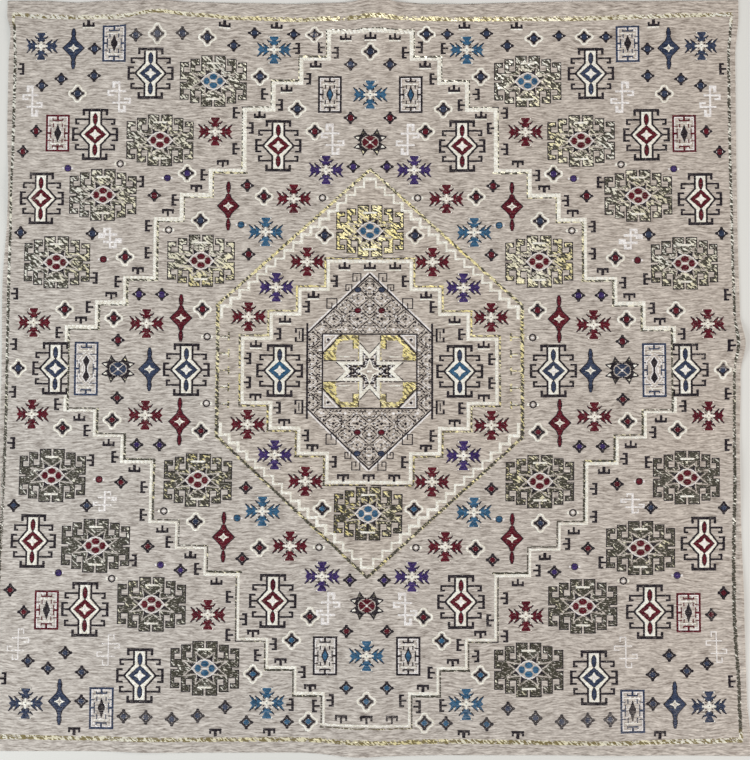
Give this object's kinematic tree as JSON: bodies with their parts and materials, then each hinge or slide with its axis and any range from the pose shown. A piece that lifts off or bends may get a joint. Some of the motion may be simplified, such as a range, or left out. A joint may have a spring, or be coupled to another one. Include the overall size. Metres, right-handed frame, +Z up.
{
  "type": "woven tablecloth",
  "caption": "Square jacquard-woven tablecloth with a stepped geometric medallion pattern and turned hems, laid out flat.",
  "frame": {"origin": "on the surface that the cloth lies on, under the middle of its outline box", "axes": "+X to the right of the pattern, +Y to its top, +Z up out of the woven face"},
  "size_m": [1.4922, 1.517, 0.0101],
  "materials": {
    "ground_weave": "melange taupe weave, matt",
    "cream_yarn": "cream brocade weft, soft",
    "gold_yarn": "gold metallic weft, glittering",
    "dark_yarn": "near-black brocade weft, matt",
    "red_yarn": "crimson brocade weft, matt",
    "blue_yarn": "blue brocade weft, matt",
    "navy_yarn": "navy brocade weft, matt",
    "purple_yarn": "purple brocade weft, matt"
  },
  "bodies": {
    "root": {"cloth": "ground_weave"}
  },
  "joints": []
}
